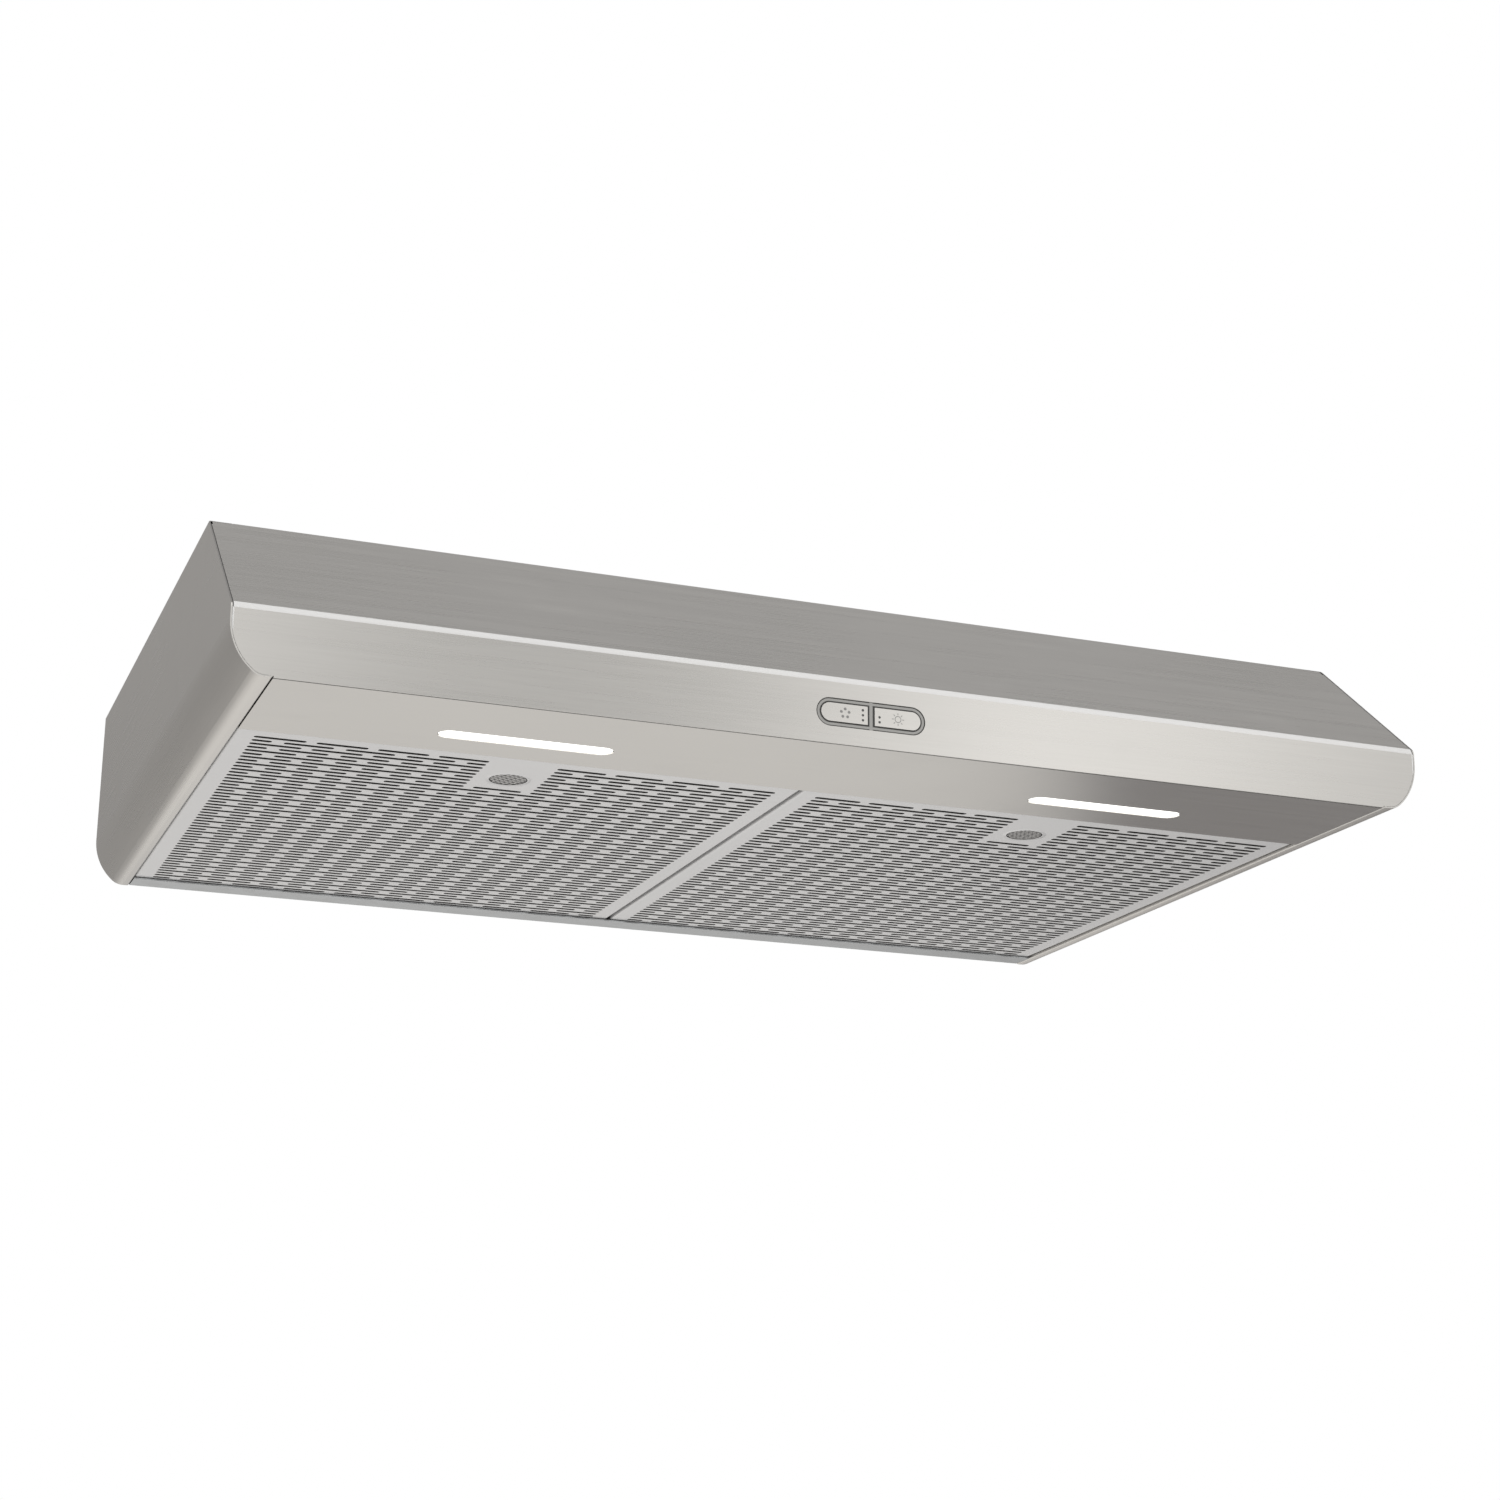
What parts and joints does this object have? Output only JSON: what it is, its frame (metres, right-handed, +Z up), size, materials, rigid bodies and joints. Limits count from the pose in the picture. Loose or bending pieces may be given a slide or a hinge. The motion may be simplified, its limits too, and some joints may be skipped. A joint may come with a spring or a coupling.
{
  "type": "under cabinet range hood",
  "caption": "Wall-to-front cooker hood that hangs under a wall cabinet: folded steel case with sloping front, push buttons, light bars, slotted drop-down filters and a blower.",
  "frame": {"origin": "middle of the underside's bounding box, on the plane of the case's bottom edges", "axes": "+X to the right of a person facing the hood, +Y back to the wall, +Z up"},
  "size_m": [0.7588, 0.52, 0.16],
  "materials": {
    "stainless": "satin brushed stainless steel, grain along the sheet",
    "rear_steel": "plain zinc-coated steel sheet",
    "galvanised": "zinc-coated steel sheet with a faint spangle",
    "lens": "white diffusing plastic, lit from behind",
    "lamp_shell": "white reflector plastic",
    "circuit_board": "green laminate with solder mask",
    "bezel": "grey moulded plastic",
    "button_metal": "satin metal finish",
    "indicator": "dark smoked light pipe",
    "black_plastic": "black moulded plastic",
    "filter_steel": "pressed stainless sheet, finely dulled",
    "filter_mesh": "layered expanded aluminium mesh",
    "filter_back": "pressed aluminium",
    "latch_steel": "chequered steel cap",
    "latch_bolt": "black acetal",
    "spring_steel": "bright spring steel",
    "zinc": "bright zinc plate",
    "motor_paint": "black enamel over laminations",
    "bush_bronze": "sintered bronze",
    "shaft_steel": "ground steel",
    "wheel_steel": "zinc-coated steel",
    "terminal_plastic": "cream moulded plastic",
    "capacitor_can": "drawn aluminium can",
    "lead_sleeve": "black sleeving"
  },
  "bodies": {
    "case": {"blower_cover": "galvanised", "blower_cover_screws": "zinc", "blower_hangers": "galvanised", "blower_housing": "galvanised", "blower_motor": "motor_paint", "button_switches": "black_plastic", "collar_screws": "zinc", "control_bezel": "bezel", "control_board": "circuit_board", "control_case": "black_plastic", "duct_collar": "galvanised", "front_panel": "stainless", "inlet_guard": "zinc", "left_lamp_board": "circuit_board", "left_lamp_housing": "lamp_shell", "left_lamp_lead": "lead_sleeve", "left_lamp_lens": "lens", "left_latch_keeper": "spring_steel", "left_side_panel": "stainless", "light_strip": "stainless", "motor_bush": "bush_bronze", "motor_screws": "zinc", "rear_panel": "rear_steel", "right_lamp_board": "circuit_board", "right_lamp_housing": "lamp_shell", "right_lamp_lead": "lead_sleeve", "right_lamp_lens": "lens", "right_latch_keeper": "spring_steel", "right_side_panel": "stainless", "run_capacitor": "capacitor_can", "supply_lead": "lead_sleeve", "terminal_block": "terminal_plastic", "top_panel": "rear_steel", "wiring_box": "galvanised", "wiring_bush": "black_plastic", "wiring_cover": "galvanised", "wiring_cover_screws": "zinc"},
    "left_filter": {"left_filter_tray": "filter_steel", "left_filter_mesh": "filter_mesh", "left_filter_back": "filter_back", "left_latch_case": "black_plastic"},
    "left_latch": {"left_latch_button": "latch_steel"},
    "left_bolt": {"left_latch_bolt": "latch_bolt"},
    "right_filter": {"right_filter_tray": "filter_steel", "right_filter_mesh": "filter_mesh", "right_filter_back": "filter_back", "right_latch_case": "black_plastic"},
    "right_latch": {"right_latch_button": "latch_steel"},
    "right_bolt": {"right_latch_bolt": "latch_bolt"},
    "fan_key": {"fan_button": "button_metal", "fan_indicators": "indicator"},
    "light_key": {"light_button": "button_metal", "light_indicators": "indicator"},
    "wheel": {"blower_wheel": "wheel_steel", "motor_shaft": "shaft_steel"},
    "damper": {"damper_flap": "galvanised", "damper_pin": "zinc"}
  },
  "joints": [
    {"name": "left_filter_hinge", "type": "hinge", "parent": "case", "child": "left_filter", "pos_m": [-0.1775, 0.2365, 0.0016], "axis": [1, 0, 0], "range_deg": [0, 75], "deforming": ["left_latch_keeper"]},
    {"name": "left_latch_press", "type": "slide", "parent": "left_filter", "child": "left_latch", "axis": [0, 0, 1], "range_m": [0, 0.0026], "stiffness_N_per_m": 800},
    {"name": "left_bolt_slide", "type": "slide", "parent": "left_filter", "child": "left_bolt", "axis": [0, 1, 0], "range_m": [0, 0.0026], "stiffness_N_per_m": 400},
    {"name": "right_filter_hinge", "type": "hinge", "parent": "case", "child": "right_filter", "pos_m": [0.1775, 0.2365, 0.0016], "axis": [1, 0, 0], "range_deg": [0, 75], "deforming": ["right_latch_keeper"]},
    {"name": "right_latch_press", "type": "slide", "parent": "right_filter", "child": "right_latch", "axis": [0, 0, 1], "range_m": [0, 0.0026], "stiffness_N_per_m": 800},
    {"name": "right_bolt_slide", "type": "slide", "parent": "right_filter", "child": "right_bolt", "axis": [0, 1, 0], "range_m": [0, 0.0026], "stiffness_N_per_m": 400},
    {"name": "fan_button_press", "type": "slide", "parent": "case", "child": "fan_key", "axis": [0, 1, 0], "range_m": [0, 0.001], "stiffness_N_per_m": 1500},
    {"name": "light_button_press", "type": "slide", "parent": "case", "child": "light_key", "axis": [0, 1, 0], "range_m": [0, 0.001], "stiffness_N_per_m": 1500},
    {"name": "wheel_spin", "type": "hinge", "parent": "case", "child": "wheel", "pos_m": [-0.0125, 0.0382, 0.036], "axis": [0, 0, 1], "continuous": true},
    {"name": "damper_swing", "type": "hinge", "parent": "case", "child": "damper", "pos_m": [0, 0.1549, 0.133], "axis": [1, 0, 0], "range_deg": [0, 80]}
  ],
  "couplings": [
    {"joint": "left_bolt_slide", "follows": "left_latch_press", "ratio": 1},
    {"joint": "right_bolt_slide", "follows": "right_latch_press", "ratio": 1}
  ]
}
